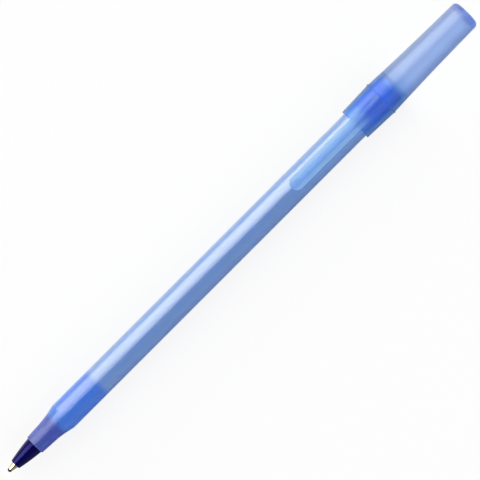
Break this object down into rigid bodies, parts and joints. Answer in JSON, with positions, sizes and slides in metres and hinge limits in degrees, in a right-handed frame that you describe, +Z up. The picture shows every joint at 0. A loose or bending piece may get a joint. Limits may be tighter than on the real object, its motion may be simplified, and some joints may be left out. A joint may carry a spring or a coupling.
{
  "type": "stick ballpoint pen",
  "caption": "Slim round stick ballpoint pen in frosted blue plastic, with a dark nose, a brass tip and a clipped cap that pulls off the rear end.",
  "frame": {"origin": "middle of the pen's length, on the surface under the cap's ring", "axes": "+X along the pen from the writing tip to the end of the cap, +Z up through the pocket clip"},
  "size_m": [0.1668, 0.0102, 0.0112],
  "materials": {
    "barrel_plastic": "frosted see-through blue polystyrene, satin",
    "plug_plastic": "moulded blue",
    "nose_plastic": "moulded dark navy, semi-gloss",
    "tip_brass": "turned bright",
    "ball_metal": "polished, wet with ink",
    "tube_plastic": "milky see-through polypropylene",
    "ink_paste": "blue paste ink",
    "cap_plastic": "frosted see-through blue polypropylene"
  },
  "bodies": {
    "pen": {"barrel": "barrel_plastic", "end_plug": "plug_plastic", "tip_holder": "nose_plastic", "brass_tip": "tip_brass", "ink_tube": "tube_plastic", "ink": "ink_paste"},
    "ball": {"writing_ball": "ball_metal"},
    "cap": {"cap": "cap_plastic"},
    "clip": {"pocket_clip": "cap_plastic"}
  },
  "joints": [
    {"name": "cap_pull", "type": "slide", "parent": "pen", "child": "cap", "axis": [1, 0, 0], "range_m": [0, 0.045]},
    {"name": "clip_flex", "type": "hinge", "parent": "cap", "child": "clip", "pos_m": [0.05183, 0, 0.01021], "axis": [0, 1, 0], "range_deg": [0, 5], "stiffness_Nm_per_rad": 0.9},
    {"name": "ball_roll", "type": "hinge", "parent": "pen", "child": "ball", "pos_m": [-0.0829, 0, 0.00514], "axis": [0, 1, 0], "continuous": true}
  ]
}
